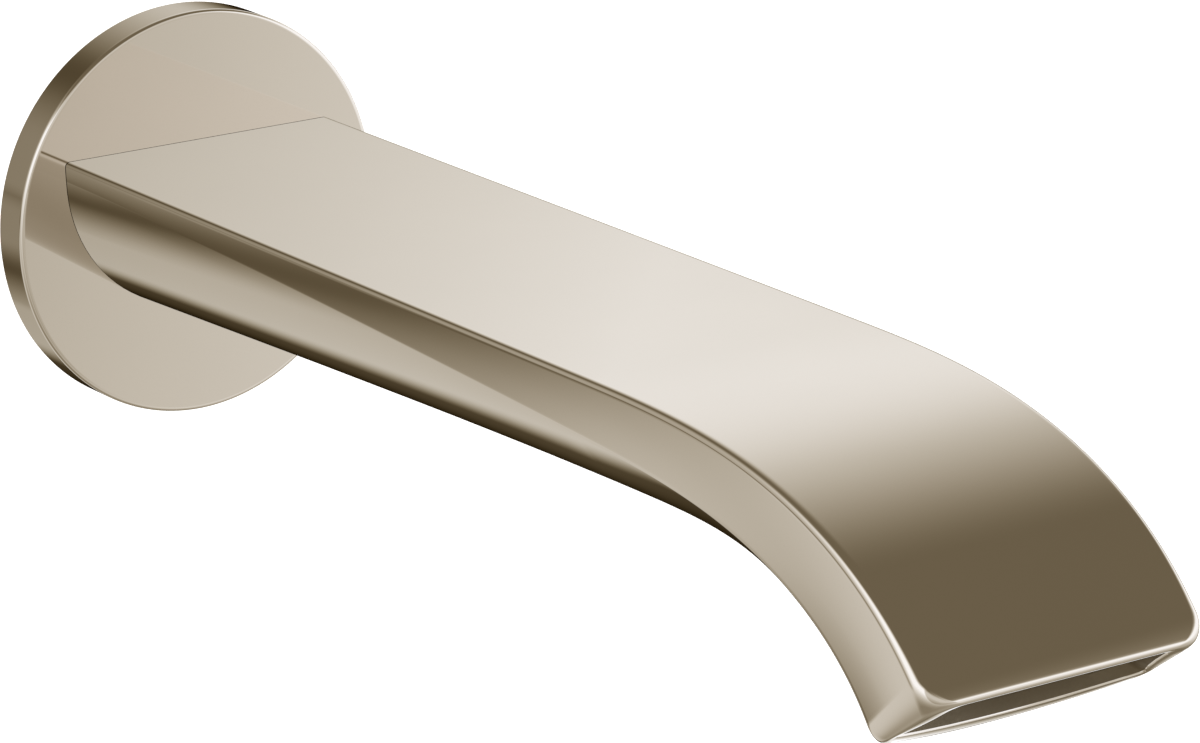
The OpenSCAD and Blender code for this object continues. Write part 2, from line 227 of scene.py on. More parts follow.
def half_outline(half, low, top, side, bottom, edge, crease):
    """Right half of a D outline, [across, down], from the top's centre to the belly's centre."""
    sag = bottom - side
    belly = (low * low + sag * sag) / (2 * sag)
    sweep = math.asin(min(1.0, low / belly))
    flat = half - edge
    start = top + edge
    fall = side - start

    def side_point(down):
        return Vector((half - (half - low) * (down / fall) ** 2, start + down))

    def belly_point(a):
        return Vector((belly * math.sin(a), bottom - belly * (1 - math.cos(a))))

    lean = math.atan(2 * (half - low) / fall)
    reach = crease * math.tan((math.pi / 2 - sweep - lean) / 2)
    reach = min(max(reach, 0.12 * MM), 0.45 * fall)
    face = fall - reach
    guard = min(0.25 * MM, 0.3 * face)
    points = [(flat * share, top) for share in FLAT_SHARES]
    points += [(flat - 0.3 * MM, top), (flat, top)]
    for i in range(1, EDGE_STEPS + 1):
        a = math.pi / 2 * i / EDGE_STEPS
        points.append((flat + edge * math.sin(a), top + edge * (1 - math.cos(a))))
    downs = [guard] + [face * share for share in SIDE_SHARES] + [face - guard]
    points += [tuple(side_point(down)) for down in downs]
    first, corner = side_point(face), Vector((low, side))
    last = belly_point(sweep - reach / belly)
    for i in range(CREASE_STEPS + 1):
        u = i / CREASE_STEPS
        points.append(tuple(first * (1 - u) ** 2 + corner * (2 * u * (1 - u)) + last * u * u))
    for i in range(1, BELLY_STEPS + 1):
        points.append(tuple(belly_point((sweep - reach / belly) * (1 - i / BELLY_STEPS))))
    return points


def d_outline(*sizes):
    """Whole D outline, once round from the top's centre."""
    right = half_outline(*sizes)
    left = [(-x, d) for x, d in right[1:-1]]
    return right + left[::-1]


def ring_on_path(run, outline):
    """An outline stood square to the top face's path."""
    a = slope_at(run)
    y, z = top_point(run)
    return [Vector((x, y + d * math.sin(a), z - d * math.cos(a))) for x, d in outline]


def outlet_matrix():
    """Outlet frame: X across, Y down from the lip, Z back up the flow."""
    y, z = top_point(path_length())
    turn = Matrix.Rotation(settings("spout_sizes").tip_slope - math.pi / 2, 4, "X")
    return Matrix.Translation((0, y, z)) @ turn


def ring_in_outlet(back, outline):
    place = outlet_matrix()
    return [place @ Vector((x, d, back)) for x, d in outline]


def outer_outline(run):
    s = settings("spout_sizes")
    dist = path_length() - run
    side = side_at(run) - quarter_drop(dist, s.belly_length, s.side_inset)
    edge = s.edge_radius + s.edge_growth * (run / path_length()) ** 4
    in_side = quarter_drop(dist, s.end_length, s.end_inset)
    low = HALF_W - (side - s.edge_radius) * math.tan(s.side_lean)
    return d_outline(
        HALF_W - in_side, low - quarter_drop(dist, s.end_length, s.low_inset),
        quarter_drop(dist, s.lip_radius, s.lip_radius), side,
        depth_at(run) - quarter_drop(dist, s.belly_length, s.belly_inset),
        edge + s.corner_gain * in_side, s.crease_radius + in_side,
    )


def cavity_outline(run):
    s = settings("spout_sizes")
    share = (run / path_length()) ** 4
    half = HALF_W - (3 + 3.6 * share) * MM
    return d_outline(
        half, half, s.lip_wall, side_at(run) + (1.2 - 6.9 * share) * MM,
        depth_at(run) - (2.8 + 9.2 * share) * MM, 1 * MM, 1 * MM,
    )


def mouth_outline(inset):
    s = settings("spout_sizes")
    return d_outline(
        s.pocket_half - inset, s.pocket_half + s.mouth_flare - inset, s.lip_edge + inset,
        s.pocket_side + 0.5 * MM, s.pocket_bottom + 0.3 * MM - inset, 2 * MM, 0.6 * MM,
    )


def pocket_outline(inset):
    s = settings("spout_sizes")
    half = s.pocket_half - inset
    return d_outline(half, half, s.lip_wall + inset, s.pocket_side,
                     s.pocket_bottom - inset, 2 * MM - inset, 0.6 * MM)


# ---------------------------------------------------------------- modelling


def deselect_all():
    if bpy.context.object and bpy.context.object.mode != "OBJECT":
        bpy.ops.object.mode_set(mode="OBJECT")
    bpy.ops.object.select_all(action="DESELECT")


def make_active(piece):
    deselect_all()
    piece.select_set(True)
    bpy.context.view_layer.objects.active = piece


def loft(name, rings, closed):
    """A ring is drawn as a circle, set on its outline, and extruded from place to place."""
    deselect_all()
    bpy.ops.mesh.primitive_circle_add(vertices=len(rings[0]), radius=DISC_R)
    piece = bpy.context.object
    piece.name = piece.data.name = name
    bpy.ops.object.mode_set(mode="EDIT")
    bpy.ops.mesh.select_mode(type="VERT")
    shape = bmesh.from_edit_mesh(piece.data)
    place = shape.verts.layers.int.new("place")
    for i, v in enumerate(shape.verts):
        v[place] = i
        v.co = rings[0][i]
    bpy.ops.mesh.select_all(action="SELECT")
    for ring in rings[1:]:
        bpy.ops.mesh.extrude_edges_move()
        shape = bmesh.from_edit_mesh(piece.data)
        place = shape.verts.layers.int["place"]
        for v in shape.verts:
            if v.select:
                v.co = ring[v[place]]
    bmesh.update_edit_mesh(piece.data)
    bpy.ops.mesh.select_all(action="DESELECT")
    bpy.ops.mesh.select_non_manifold()
    if closed:
        bpy.ops.mesh.bridge_edge_loops()
    else:
        bpy.ops.mesh.edge_face_add()
    bpy.ops.mesh.select_all(action="SELECT")
    bpy.ops.mesh.normals_make_consistent(inside=False)
    bpy.ops.object.mode_set(mode="OBJECT")
    layer = piece.data.attributes.get("place")
    if layer:
        piece.data.attributes.remove(layer)
    return piece


def lathe(name, profile, steps):
    """A closed profile of (radius, reach out of the wall) is drawn and spun about the inlet axis."""
    deselect_all()
    bpy.ops.mesh.primitive_circle_add(vertices=len(profile), radius=DISC_R)
    piece = bpy.context.object
    piece.name = piece.data.name = name
    for v, (radius, reach) in zip(piece.data.vertices, profile):
        v.co = (radius, -reach, 0)
    bpy.ops.object.mode_set(mode="EDIT")
    bpy.ops.mesh.select_all(action="SELECT")
    bpy.ops.mesh.spin(steps=steps, angle=TURN, center=(0, 0, 0), axis=(0, 1, 0))
    bpy.ops.mesh.select_all(action="SELECT")
    bpy.ops.mesh.remove_doubles(threshold=0.002 * MM)
    bpy.ops.mesh.dissolve_degenerate(threshold=0.001 * MM)
    bpy.ops.mesh.select_all(action="SELECT")
    bpy.ops.mesh.normals_make_consistent(inside=False)
    bpy.ops.object.mode_set(mode="OBJECT")
    return piece


def rounded(corner, before, after, radius, steps=5, guard=0.0):
    """Points that round one corner of a profile, with a guard point on each side."""
    corner, before, after = Vector(corner), Vector(before), Vector(after)
    a = (before - corner).normalized()
    b = (after - corner).normalized()
    centre = corner + (a + b) * radius
    points = []
    if guard:
        points.append(corner + a * (radius + guard))
    for i in range(steps + 1):
        t = math.pi / 2 * i / steps
        points.append(centre - b * radius * math.cos(t) - a * radius * math.sin(t))
    if guard:
        points.append(corner + b * (radius + guard))
    return [tuple(p) for p in points]


def rounded_profile(corners):
    """Closed profile from (radius, reach, rounding) corners that meet at right angles."""
    points = []
    count = len(corners)
    for i, (x, y, radius) in enumerate(corners):
        before = corners[i - 1][:2]
        after = corners[(i + 1) % count][:2]
        if radius:
            points += rounded((x, y), before, after, radius, guard=0.4 * radius)
        else:
            points.append((x, y))
    return points


def cut(piece, tool):
    """Takes the tool's shape out of the piece."""
    make_active(piece)
    modifier = piece.modifiers.new("Cut", "BOOLEAN")
    modifier.operation = "DIFFERENCE"
    modifier.solver = "EXACT"
    modifier.object = tool
    bpy.ops.object.modifier_apply(modifier=modifier.name)
    bpy.data.objects.remove(tool, do_unlink=True)


def drill(radius, start, end, axis, sides=64):
    """A drill for cut(): a cylinder between two points."""
    deselect_all()
    middle = (Vector(start) + Vector(end)) / 2
    span = (Vector(end) - Vector(start)).length
    turn = Vector(axis).to_track_quat("Z", "Y").to_euler()
    bpy.ops.mesh.primitive_cylinder_add(
        vertices=sides, radius=radius, depth=span, location=middle, rotation=turn,
    )
    bpy.ops.object.transform_apply(location=True, rotation=True, scale=True)
    return bpy.context.object


def soften(node, name, edge, segments=2):
    """A copy of a plain CAD piece with its small edges broken."""
    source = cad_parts[node]
    piece = bpy.data.objects.new(name, source.data.copy())
    piece.data.name = name
    piece.data.materials.clear()
    bpy.context.scene.collection.objects.link(piece)
    make_active(piece)
    bpy.ops.object.mode_set(mode="EDIT")
    bpy.ops.mesh.select_all(action="SELECT")
    bpy.ops.mesh.remove_doubles(threshold=0.002 * MM)
    bpy.ops.mesh.select_all(action="SELECT")
    bpy.ops.mesh.dissolve_limited(angle_limit=math.radians(0.8))
    bpy.ops.object.mode_set(mode="OBJECT")
    bevel = piece.modifiers.new("Broken edges", "BEVEL")
    bevel.width = edge
    bevel.segments = segments
    bevel.limit_method = "ANGLE"
    bevel.angle_limit = math.radians(50)
    bevel.harden_normals = False
    bpy.ops.object.modifier_apply(modifier=bevel.name)
    return piece


def finish_piece(piece, body, node, finish, angle=30):
    """Smooth shading, material, body and CAD node of a finished piece."""
    make_active(piece)
    bpy.ops.object.transform_apply(location=True, rotation=True, scale=True)
    bpy.ops.object.shade_smooth_by_angle(angle=math.radians(angle))
    if not piece.data.materials:
        piece.data.materials.append(finish)
    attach(piece, body)
    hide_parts(node)


def repaint(node, finish):
    """A carried-over CAD piece gets its finish."""
    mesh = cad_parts[node].data
    mesh.materials.clear()
    mesh.materials.append(finish)


# ---------------------------------------------------------------- materials


def new_group(name, inputs, outputs):
    """An empty shader group with named float inputs and outputs."""
    group = bpy.data.node_groups.new(name, "ShaderNodeTree")
    for label, value in inputs:
        socket = group.interface.new_socket(label, in_out="INPUT", socket_type="NodeSocketFloat")
        socket.default_value = value
    for label in outputs:
        group.interface.new_socket(label, in_out="OUTPUT", socket_type="NodeSocketFloat")
    start = group.nodes.new("NodeGroupInput")
    end = group.nodes.new("NodeGroupOutput")
    return group, start, end


def noise(tree, vector, scale_from, detail, stretch=None):
    """A noise texture, read through a Mapping node where it is stretched."""
    node = tree.nodes.new("ShaderNodeTexNoise")
    node.inputs["Detail"].default_value = detail
    node.inputs["Roughness"].default_value = 0.55
    if stretch:
        mapping = tree.nodes.new("ShaderNodeMapping")
        mapping.inputs["Scale"].default_value = stretch
        tree.links.new(vector, mapping.inputs["Vector"])
        vector = mapping.outputs["Vector"]
    tree.links.new(vector, node.inputs["Vector"])
    if isinstance(scale_from, (int, float)):
        node.inputs["Scale"].default_value = scale_from
    else:
        tree.links.new(scale_from, node.inputs["Scale"])
    return node.outputs["Fac"]


def remap(tree, value, low, high, to_low=0.0, to_high=1.0, smooth=False):
    """A value moved from one range to another, clamped at both ends."""
    node = tree.nodes.new("ShaderNodeMapRange")
    node.interpolation_type = "SMOOTHSTEP" if smooth else "LINEAR"
    node.inputs["From Min"].default_value = low
    node.inputs["From Max"].default_value = high
    for label, bound in (("To Min", to_low), ("To Max", to_high)):
        if isinstance(bound, (int, float)):
            node.inputs[label].default_value = bound
        else:
            tree.links.new(bound, node.inputs[label])
    tree.links.new(value, node.inputs["Value"])
    return node.outputs["Result"]


def math_node(tree, operation, first, second):
    node = tree.nodes.new("ShaderNodeMath")
    node.operation = operation
    for socket, value in zip(node.inputs, (first, second)):
        if isinstance(value, (int, float)):
            socket.default_value = value
        else:
            tree.links.new(value, socket)
    return node.outputs[0]


def polish_group():
    """Buffed metal: faint haze, hairline marks and the slightest waviness."""
    inputs = [("Smooth", 0.03), ("Haze", 0.07), ("Marks", 0.5)]
    group, start, end = new_group("Buffed Metal", inputs, ["Cloud", "Roughness", "Height"])
    coords = group.nodes.new("ShaderNodeTexCoord").outputs["Object"]
    cloud = noise(group, coords, 28, 3)
    hairs = noise(group, coords, 900, 2, (1.0, 0.06, 1.0))
    haze = remap(group, cloud, 0.35, 0.72)
    rough = remap(group, haze, 0.0, 1.0, start.outputs["Smooth"], start.outputs["Haze"])
    fine = math_node(group, "MULTIPLY", remap(group, hairs, 0.45, 0.75), start.outputs["Marks"])
    group.links.new(haze, end.inputs["Cloud"])
    group.links.new(math_node(group, "ADD", rough, math_node(group, "MULTIPLY", fine, 0.01)),
                    end.inputs["Roughness"])
    group.links.new(fine, end.inputs["Height"])
    return group


def grain_group():
    """Moulded surface: fine grain over broad unevenness."""
    group, start, end = new_group(
        "Moulded Grain", [("Scale", 2500), ("Rough", 0.45), ("Spread", 0.15)],
        ["Cloud", "Roughness", "Height"])
    coords = group.nodes.new("ShaderNodeTexCoord").outputs["Object"]
    fine = noise(group, coords, start.outputs["Scale"], 3)
    broad = noise(group, coords, 90, 2)
    spread = math_node(group, "MULTIPLY", fine, start.outputs["Spread"])
    group.links.new(broad, end.inputs["Cloud"])
    group.links.new(math_node(group, "ADD", spread, start.outputs["Rough"]), end.inputs["Roughness"])
    group.links.new(fine, end.inputs["Height"])
    return group


def turning_group():
    """Machined metal: tool lines round the inlet axis and dull patches."""
    group, start, end = new_group(
        "Turned Metal", [("Lines", 5200), ("Smooth", 0.18), ("Dull", 0.38)],
        ["Cloud", "Roughness", "Height"])
    coords = group.nodes.new("ShaderNodeTexCoord").outputs["Object"]
    lines = noise(group, coords, start.outputs["Lines"], 2, (0.02, 1.0, 0.02))
    cloud = noise(group, coords, 160, 4)
    group.links.new(cloud, end.inputs["Cloud"])
    group.links.new(remap(group, cloud, 0.3, 0.7, start.outputs["Smooth"], start.outputs["Dull"]),
                    end.inputs["Roughness"])
    group.links.new(lines, end.inputs["Height"])
    return group


def shaded(name, group, values, tints, metallic, bump, coat=0.0):
    """A material around one surface group: two close tints, roughness and a fine bump."""
    material = bpy.data.materials.new(name)
    material.use_nodes = True
    tree = material.node_tree
    shader = tree.nodes["Principled BSDF"]
    surface = tree.nodes.new("ShaderNodeGroup")
    surface.node_tree = group
    for label, value in values.items():
        surface.inputs[label].default_value = value
    ramp = tree.nodes.new("ShaderNodeValToRGB")
    for stop, tint in zip(ramp.color_ramp.elements, tints):
        stop.color = (*tint, 1)
    relief = tree.nodes.new("ShaderNodeBump")
    relief.inputs["Strength"].default_value = bump
    relief.inputs["Distance"].default_value = 0.02 * MM
    tree.links.new(surface.outputs["Cloud"], ramp.inputs["Fac"])
    tree.links.new(ramp.outputs["Color"], shader.inputs["Base Color"])
    tree.links.new(surface.outputs["Roughness"], shader.inputs["Roughness"])
    tree.links.new(surface.outputs["Height"], relief.inputs["Height"])
    tree.links.new(relief.outputs["Normal"], shader.inputs["Normal"])
    shader.inputs["Metallic"].default_value = metallic
    shader.inputs["Coat Weight"].default_value = coat
    return material


def tints(base, shift):
    """A colour and a slightly darker one."""
    return [tuple(c * (1 - shift) for c in base), tuple(base)]


FINISHES = {}


def make_finishes():
    f = settings("spout_finish")
    polish, grain, turned = polish_group(), grain_group(), turning_group()
    FINISHES["polished_nickel"] = shaded(
        "polished_nickel", polish, {"Smooth": 0.02, "Haze": 0.045, "Marks": 0.3},
        tints(f.nickel, 0.02), 1.0, 0.01)
    # Painted shade: the inside finish's dark colour stands in for the shade in the outlet's recess and
    # the hollow, over the casting's own colour.
    FINISHES["shaded_cast_inside"] = shaded(
        "shaded_cast_inside", grain, {"Scale": 1800, "Rough": 0.38, "Spread": 0.3},
        tints(f.inside, 0.3), 0.4, 0.3)
    FINISHES["nickel_plastic"] = shaded(
        "nickel_plastic", polish, {"Smooth": 0.04, "Haze": 0.08, "Marks": 0.4},
        tints(f.nickel, 0.05), 1.0, 0.02)
    FINISHES["raw_brass"] = shaded(
        "raw_brass", turned, {}, tints(f.brass, 0.22), 1.0, 0.25)
    FINISHES["stainless_steel"] = shaded(
        "stainless_steel", turned, {"Smooth": 0.22, "Dull": 0.34}, tints(f.steel, 0.15), 1.0, 0.12)
    FINISHES["black_rubber"] = shaded(
        "black_rubber", grain, {"Scale": 4200, "Rough": 0.42, "Spread": 0.2},
        tints(f.rubber, 0.3), 0.0, 0.12)
    FINISHES["foam_rubber"] = shaded(
        "foam_rubber", grain, {"Scale": 1500, "Rough": 0.75, "Spread": 0.2},
        tints(f.foam, 0.45), 0.0, 0.9)
    FINISHES["grey_plastic"] = shaded(
        "grey_plastic", grain, {"Scale": 3200, "Rough": 0.34, "Spread": 0.2},
        tints(f.grey_plastic, 0.12), 0.0, 0.18)
    FINISHES["pale_plastic"] = shaded(
        "pale_plastic", grain, {"Scale": 3200, "Rough": 0.34, "Spread": 0.2},
        tints(f.pale_plastic, 0.06), 0.0, 0.15)


# ---------------------------------------------------------------- operators


class SPOUT_OT_finishes(bpy.types.Operator):
    """Make the finishes that the pieces share"""

    bl_idname = "spout.finishes"
    bl_label = "Finishes"

    def execute(self, context):
        make_finishes()
        return {"FINISHED"}


def circle_slots(outline, radius, reach):
    """A round ring with one point for each point of an outline that it faces."""
    ring = []
    for x, d in outline:
        a = math.atan2(TOP_Z - d, x)
        ring.append(Vector((radius * math.cos(a), -reach, radius * math.sin(a))))
    return ring


class SPOUT_OT_body(bpy.types.Operator):
    """Model the hollow cast spout"""

    bl_idname = "spout.body"
    bl_label = "Spout body"

    def execute(self, context):
        s = context.scene.spout_sizes
        total = path_length()
        straight = s.bend_start - DISC_T
        first = 0.1 * MM
        runs = [first + (straight - first) * i / 24 for i in range(24)]
        runs += [straight + (s.bend_length - s.belly_length) * i / 80 for i in range(80)]
        runs += [total - s.belly_length * (1 - math.sin(math.pi / 2 * i / 18)) for i in range(19)]
        rings = [ring_on_path(run, outer_outline(run)) for run in runs]
        plated_mouth_rings = 2
        first_inside = (len(rings) + plated_mouth_rings) * len(rings[0])
        soft = 0.3 * MM
        for i in range(1, 4):
            a = math.pi / 2 * i / 3
            rings.append(ring_in_outlet(soft * (1 - math.cos(a)),
                                        mouth_outline(soft * (math.sin(a) - 1))))
        rings.append(ring_in_outlet(s.mouth_length, pocket_outline(0)))
        rings.append(ring_in_outlet(s.pocket_length * 0.5, pocket_outline(0)))
        rings.append(ring_in_outlet(s.pocket_length, pocket_outline(0)))
        rings.append(ring_in_outlet(s.pocket_length, pocket_outline(0.7 * MM)))
        back = total - 14 * MM
        cavity_start = 36 * MM - DISC_T
        rings += [ring_on_path(run, cavity_outline(run))
                  for run in (back + (cavity_start - back) * i / 30 for i in range(31))]
        outline = cavity_outline(cavity_start)
        for radius, reach in ((8.05, 36), (8.05, 31.1), (9.82, 31.1), (9.82, 6.2)):
            rings.append(circle_slots(outline, radius * MM, reach * MM))
        piece = loft("spout_shell", rings, True)
        # The inside faces get the finish whose dark colour paints the shade in the outlet and the
        # hollow.
        for finish in ("polished_nickel", "shaded_cast_inside"):
            piece.data.materials.append(FINISHES[finish])
        for polygon in piece.data.polygons:
            polygon.material_index = int(min(polygon.vertices) >= first_inside)
        hole_y = (PLUG_LOW.y + PLUG_HIGH.y) / 2
        low = -18 * MM
        screw_hole_r, screw_hole_top = 2.55 * MM, -9 * MM
        plug_hole_r, plug_hole_top = 3.22 * MM, PLUG_HIGH.z + 0.1 * MM
        for radius, top in ((screw_hole_r, screw_hole_top), (plug_hole_r, plug_hole_top)):
            cut(piece, drill(radius, (0, hole_y, low), (0, hole_y, top), (0, 0, 1)))
        finish_piece(piece, FIXED_BODY, "spout_body",
                     FINISHES["polished_nickel"], 28)
        return {"FINISHED"}


class SPOUT_OT_disc(bpy.types.Operator):
    """Model the wall disc with its carrier, gasket and grip ring"""

    bl_idname = "spout.disc"
    bl_label = "Wall disc"

    def execute(self, context):
        hub_bore, hub, back, wall, rim = 9.9 * MM, 12.6 * MM, 3.2 * MM, 1.6 * MM, 1.8 * MM
        inner = DISC_T - wall
        profile = rounded_profile([
            (hub_bore, back, 0.15 * MM),
            (hub_bore, DISC_T, 0.1 * MM),
            (DISC_R, DISC_T, 0.5 * MM),
            (DISC_R, 0, 0.25 * MM),
            (DISC_R - rim, 0, 0.2 * MM),
            (DISC_R - rim, inner, 0.3 * MM),
            (hub, inner, 0.3 * MM),
            (hub, back, 0.15 * MM),
        ])
        piece = lathe("wall_disc", profile, 256)
        finish_piece(piece, FIXED_BODY, "escutcheon",
                     FINISHES["polished_nickel"], 35)
        for node, name, slot, edge in (
            ("escutcheon_carrier", "disc_carrier", "grey_plastic", 0.15),
            ("wall_gasket", "foam_gasket", "foam_rubber", 0.25),
        ):
            piece = soften(node, name, edge * MM)
            finish_piece(piece, FIXED_BODY, node, FINISHES[slot], 35)
        repaint("escutcheon_grip_ring", FINISHES["black_rubber"])
        return {"FINISHED"}


class SPOUT_OT_nipple(bpy.types.Operator):
    """Model the threaded wall nipple and its seals"""

    bl_idname = "spout.nipple"
    bl_label = "Wall nipple"

    def execute(self, context):
        thread_r, pitch, thread_depth = 13.2 * MM, 1.814 * MM, 1.1 * MM
        collar_r, collar_t = NIPPLE_HIGH.x, 3 * MM
        spigot_r = 8 * MM
        end = THREAD_END
        threads = [(thread_r, -end + i * pitch / 14) for i in range(1, int(end / pitch * 14))]
        profile = [(5.2 * MM, -end), (thread_r - 1.2 * MM, -end)] + threads
        profile += [(thread_r, 0)]
        groove_in, groove_out, groove_t = 13.9 * MM, 15.6 * MM, 1.3 * MM
        profile += [(groove_in, 0), (groove_in, groove_t), (groove_out, groove_t), (groove_out, 0)]
        profile += rounded((collar_r, 0), (groove_out, 0), (collar_r, collar_t), 0.2 * MM)
        profile += rounded((collar_r, collar_t), (collar_r, 0), (spigot_r, collar_t), 0.3 * MM)
        profile.append((spigot_r, collar_t))
        for reach, half, floor in ((12.5, 2.8, 7.1), (19.5, 1, 6.65), (24.5, 1, 6.65)):
            profile += [(spigot_r, (reach - half) * MM), (floor * MM, (reach - half) * MM),
                        (floor * MM, (reach + half) * MM), (spigot_r, (reach + half) * MM)]
        profile += [(spigot_r, SPIGOT_END - 0.6 * MM), (spigot_r - 0.6 * MM, SPIGOT_END)]
        profile += [(5.9 * MM, SPIGOT_END), (5.9 * MM, 8 * MM), (5.2 * MM, 8 * MM)]
        piece = lathe("threaded_nipple", profile, 144)
        for v in piece.data.vertices:
            radius = math.hypot(v.co.x, v.co.z)
            if radius < thread_r - 0.01 * MM or not 0 < v.co.y < end - 0.01 * MM:
                continue
            if abs(radius - thread_r) > 0.01 * MM:
                continue
            phase = (v.co.y / pitch + math.atan2(v.co.z, v.co.x) / TURN) % 1
            groove = max(0.0, min(1.0, (abs(2 * phase - 1) - 0.12) / 0.74))
            run_in = min(1.0, max(0.0, v.co.y - 0.6 * MM) / (1.2 * MM))
            lead = max(0.0, v.co.y - (end - 1.3 * MM))
            new_radius = min(thread_r - thread_depth * groove * run_in, thread_r - lead * 0.9)
            v.co.x *= new_radius / radius
            v.co.z *= new_radius / radius
        key = drill(10.2 / math.sqrt(3) * MM, (0, end + 2 * MM, 0), (0, -8 * MM, 0), (0, 1, 0), 6)
        cut(piece, key)
        finish_piece(piece, FIXED_BODY, "wall_nipple", FINISHES["raw_brass"], 32)
        repaint("connection_bush", FINISHES["raw_brass"])
        for node in ("thread_o_ring", "spigot_o_ring_inner", "spigot_o_ring_outer"):
            repaint(node, FINISHES["black_rubber"])
        return {"FINISHED"}


class SPOUT_OT_fixings(bpy.types.Operator):
    """Model the set screw and the plug that hides it"""

    bl_idname = "spout.fixings"
    bl_label = "Set screw and plug"

    def execute(self, context):
        screw = soften("set_screw", "grub_screw", 0.08 * MM)
        finish_piece(screw, "set_screw", "set_screw",
                     FINISHES["stainless_steel"], 30)
        plug = soften("screw_plug", "plug_cap", 0.12 * MM, 3)
        finish_piece(plug, "screw_plug", "screw_plug",
                     FINISHES["nickel_plastic"], 30)
        return {"FINISHED"}


class SPOUT_OT_insert(bpy.types.Operator):
    """Model the pull-out jet insert"""

    bl_idname = "spout.insert"
    bl_label = "Jet insert"

    def execute(self, context):
        for node, name, slot, edge in (
            ("outlet_trim_frame", "bright_frame", "nickel_plastic", 0.14),
            ("jet_grille", "slotted_grille", "grey_plastic", 0.1),
            ("insert_housing", "insert_shell", "pale_plastic", 0.08),
            ("insert_gasket", "flat_seal", "black_rubber", 0.08),
        ):
            piece = soften(node, name, edge * MM)
            finish_piece(piece, INSERT_BODY, node, FINISHES[slot], 35)
        for node, slot in (
            ("lamella_block", "pale_plastic"),
            ("sieve_screen", "stainless_steel"),
            ("distribution_plate", "grey_plastic"),
            ("insert_spring_clips", "stainless_steel"),
        ):
            repaint(node, FINISHES[slot])
        return {"FINISHED"}


def add_camera():
    st = settings("studio_settings")
    towards = Vector((
        -math.sin(st.azimuth) * math.cos(st.elevation),
        -math.cos(st.azimuth) * math.cos(st.elevation),
        math.sin(st.elevation),
    ))
    deselect_all()
    bpy.ops.object.camera_add(
        location=Vector(st.aim) + towards * st.distance,
        rotation=towards.to_track_quat("Z", "Y").to_euler(),
    )
    camera = bpy.context.object
    camera.data.sensor_width = 36
    camera.data.lens = st.focal_length
    camera.data.clip_end = 50
    bpy.context.scene.camera = camera


def soft_band(tree, value, begins, full, fades, ends):
    """1 inside a band of values and 0 outside it, with a smooth rise and a smooth fall."""
    rise = remap(tree, value, begins, full, smooth=True)
    fall = remap(tree, value, ends, fades, smooth=True)
    return math_node(tree, "MULTIPLY", rise, fall)


def mix(tree, share, first, second):
    """first + share * (second - first)."""
    gap = math_node(tree, "SUBTRACT", second, first)
    return math_node(tree, "ADD", first, math_node(tree, "MULTIPLY", gap, share))


# Soft lights round the spout's axis on the wall side. Each has the angles, in degrees from
# the right and over the top, where it begins, is full, starts to fade and ends, and its level.
UPPER_RIGHT_LIGHT = (-12, 32, 32, 120, 0.97)
LEFT_LIGHT = (90, 152, 176, 198, 0.48)
LOWER_LEFT_LIGHT = (182, 232, 276, 296, 0.66)
FLOOR_GLOW = (182, 232, 290, 324, 0.07)
UNLIT_LEVEL = 0.02
# Angles run on from this far below the right, where no light stands.
FIRST_ANGLE = -36
# How far a direction leans to the wall, as its Y, where the wall side begins and is all there is.
WALL_SIDE = (0.05, 0.79)
# In front the level rises from below to level with the spout, and falls to a dark ceiling.
FRONT_BELOW, FRONT_MOST = 0.30, 1.24
CEILING_START, CEILING_END, CEILING_SHARE = 0.28, 0.64, 0.15
LEFT_DROP = 0.3
# A narrow light below on the right: its band of Y, its level, and where it ends by Z and X.
LOW_BAND = (0.54, 0.60, 0.605, 0.62)
LOW_LEVEL = 1.25
LOW_HEIGHTS = (-0.35, -0.48)
LOW_SIDES = (0.3, 0.45)
# The wall itself is duller, and the lower left light's edge turns as it nears the wall.
WALL_EDGE, WALL_FULL, WALL_SHARE = 0.775, 0.84, 0.60
SLANT_EDGE, SLANT_OUT, SLANT_IN = 0.735, -22.3, 36.4
SLANT_BAND = (184, 202, 248, 266)
WARM_GREEN, WARM_BLUE = 1.12, 1.38


def wall_side_level(tree, x, y, z):
    """Light level on the wall side of the room, from the lights round the spout's axis."""
    turns = math_node(tree, "DIVIDE", math_node(tree, "ARCTAN2", z, x), TURN)
    turns = math_node(tree, "SUBTRACT", turns, FIRST_ANGLE / 360)
    angle = math_node(tree, "MULTIPLY", math_node(tree, "FRACT", turns, 0), 360)
    angle = math_node(tree, "ADD", angle, FIRST_ANGLE)
    begins, full, fades, ends = SLANT_BAND
    near_edge = math_node(tree, "MULTIPLY", remap(tree, angle, begins, full),
                          remap(tree, angle, ends, fades))
    slant = remap(tree, y, SLANT_EDGE, WALL_FULL, SLANT_OUT, SLANT_IN)
    angle = math_node(tree, "SUBTRACT", angle, math_node(tree, "MULTIPLY", slant, near_edge))
    level = UNLIT_LEVEL
    for *band, strength in (UPPER_RIGHT_LIGHT, LEFT_LIGHT, LOWER_LEFT_LIGHT, FLOOR_GLOW):
        light = math_node(tree, "MULTIPLY", soft_band(tree, angle, *band), strength)
        level = math_node(tree, "ADD", light, level)
    return level


def front_level(tree, x, z):
    """Light level in front of the wall, by height; it starts lower on the left."""
    height = math_node(tree, "ADD", z, remap(tree, x, -1, 0, -LEFT_DROP, 0.0))
    rise = remap(tree, height, -1, 0, FRONT_BELOW, FRONT_MOST)
    ceiling = remap(tree, height, CEILING_START, CEILING_END, 1.0, CEILING_SHARE, smooth=True)
    return math_node(tree, "MULTIPLY", rise, ceiling)


def low_level(tree, x, y, z):
    """Level of the narrow light below on the right."""
    band = math_node(tree, "MULTIPLY", soft_band(tree, y, *LOW_BAND), remap(tree, z, *LOW_HEIGHTS))
    return math_node(tree, "MULTIPLY", band, remap(tree, x, *LOW_SIDES, 0.0, LOW_LEVEL))


